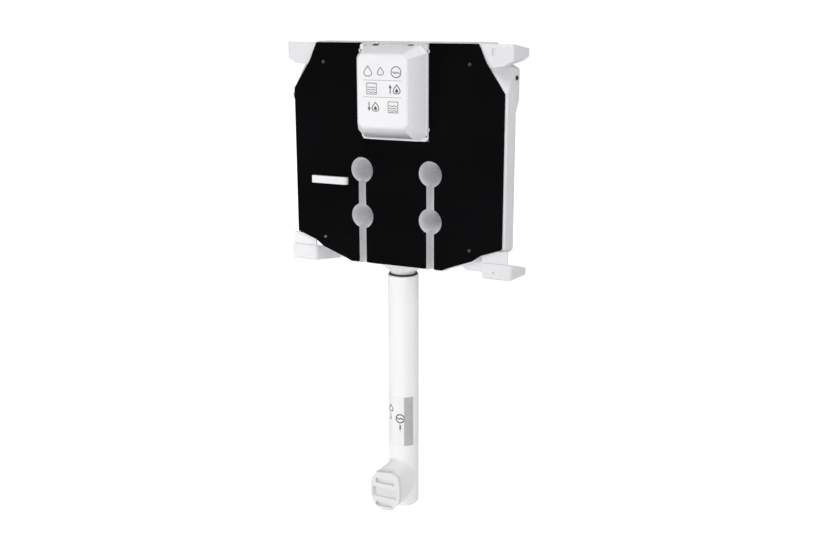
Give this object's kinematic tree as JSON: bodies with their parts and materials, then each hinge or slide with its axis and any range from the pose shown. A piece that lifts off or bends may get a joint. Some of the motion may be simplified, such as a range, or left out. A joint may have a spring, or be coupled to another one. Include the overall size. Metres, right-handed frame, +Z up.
{
  "type": "toilet cistern",
  "caption": "Slim in-wall toilet cistern with a foam-faced tank, front inspection shaft, wall brackets, inner valves and a sleeved flush pipe ending in a capped forward bend.",
  "frame": {"origin": "centre of the flush outlet's mouth, at the bottom front", "axes": "+Z up along the flush pipe, +X to the right seen from the front, +Y back towards the wall, so the front faces -Y"},
  "size_m": [0.4395, 0.13, 0.8655],
  "materials": {
    "tank": "blown polyethylene, satin",
    "foam": "closed-cell foam sheet",
    "pin": "satin",
    "black_rubber": "matt",
    "cover": "moulded, satin",
    "label": "printed film",
    "expanded_foam": "fine-beaded, matt",
    "grey_plastic": "moulded, satin",
    "white_plastic": "moulded, semi-gloss",
    "blue_plastic": "moulded, semi-gloss",
    "green_plastic": "moulded, semi-gloss",
    "brass": "machined",
    "steel": "zinc plated",
    "float_foam": "satin"
  },
  "bodies": {
    "base": {"tank": "tank", "tank_shoulders": "tank", "tank_head": "tank", "foam_panel": "foam", "panel_pins": "pin", "side_plug": "black_rubber", "shaft_frame": "white_plastic", "frame_screws": "steel", "seat_gasket": "black_rubber", "valve_seat": "grey_plastic", "outlet_washer": "black_rubber", "outlet_nut": "white_plastic", "flush_pipe": "grey_plastic", "flush_bend": "grey_plastic", "outlet_socket": "grey_plastic", "outlet_seal": "black_rubber", "pipe_seal": "black_rubber", "pipe_sleeve": "expanded_foam", "bend_sleeve": "expanded_foam", "branch_sleeve": "expanded_foam", "pipe_label": "label", "flush_basket": "grey_plastic", "lever_bracket": "white_plastic", "lever_axles": "steel", "inlet_gasket": "black_rubber", "inlet_fitting": "brass", "inlet_nut": "brass", "stop_valve": "brass", "handle_screw": "steel", "supply_tube": "steel", "supply_nuts": "brass", "fill_valve_body": "white_plastic", "fill_tube": "white_plastic", "fill_valve_cap": "grey_plastic", "lever_pin": "steel"},
    "cover": {"inspection_cover": "cover", "cover_label": "label"},
    "outlet_cap_body": {"outlet_cap": "white_plastic"},
    "flush_tube": {"overflow_tube": "green_plastic", "bell_seal": "black_rubber", "lift_yoke": "green_plastic"},
    "full_lever": {"full_flush_lever": "blue_plastic"},
    "half_lever": {"half_flush_lever": "green_plastic"},
    "half_lift": {"half_flush_rod": "blue_plastic", "half_flush_float": "white_plastic"},
    "stop_handle_body": {"stop_handle": "blue_plastic"},
    "float": {"water_float": "float_foam", "float_rod": "steel"},
    "float_arm": {"float_lever": "white_plastic"},
    "pilot": {"pilot_pin": "steel"}
  },
  "joints": [
    {"name": "cover_slide", "type": "slide", "parent": "base", "child": "cover", "axis": [0, -1, 0], "range_m": [0, 0.12]},
    {"name": "outlet_cap_slide", "type": "slide", "parent": "base", "child": "outlet_cap_body", "axis": [0, -1, 0], "range_m": [0, 0.12]},
    {"name": "flush_tube_lift", "type": "slide", "parent": "base", "child": "flush_tube", "axis": [0, 0, 1], "range_m": [0, 0.01497]},
    {"name": "full_flush_turn", "type": "hinge", "parent": "base", "child": "full_lever", "pos_m": [-0.029, 0.057, 0.742], "axis": [1, 0, 0], "range_deg": [0, 26]},
    {"name": "half_flush_lift", "type": "slide", "parent": "base", "child": "half_lift", "axis": [0, 0, 1], "range_m": [0, 0.0115]},
    {"name": "half_flush_turn", "type": "hinge", "parent": "base", "child": "half_lever", "pos_m": [0.029, 0.057, 0.742], "axis": [1, 0, 0], "range_deg": [0, 20]},
    {"name": "stop_handle_turn", "type": "hinge", "parent": "base", "child": "stop_handle_body", "pos_m": [-0.181, 0.084, 0.73], "axis": [0, 0, 1], "range_deg": [-90, 0]},
    {"name": "float_lift", "type": "slide", "parent": "base", "child": "float", "axis": [0, 0, 1], "range_m": [0, 0.016]},
    {"name": "float_lever_turn", "type": "hinge", "parent": "base", "child": "float_arm", "pos_m": [-0.147, 0.084, 0.747], "axis": [0, -1, 0], "range_deg": [0, 20.9]},
    {"name": "pilot_lift", "type": "slide", "parent": "base", "child": "pilot", "axis": [0, 0, 1], "range_m": [0, 0.0025]}
  ],
  "couplings": [
    {"joint": "full_flush_turn", "follows": "flush_tube_lift", "rad_per_m": 30.303},
    {"joint": "half_flush_turn", "follows": "half_flush_lift", "rad_per_m": 30.303},
    {"joint": "float_lever_turn", "follows": "float_lift", "rad_per_m": 22.727},
    {"joint": "pilot_lift", "follows": "float_lift", "ratio": 0.15}
  ]
}
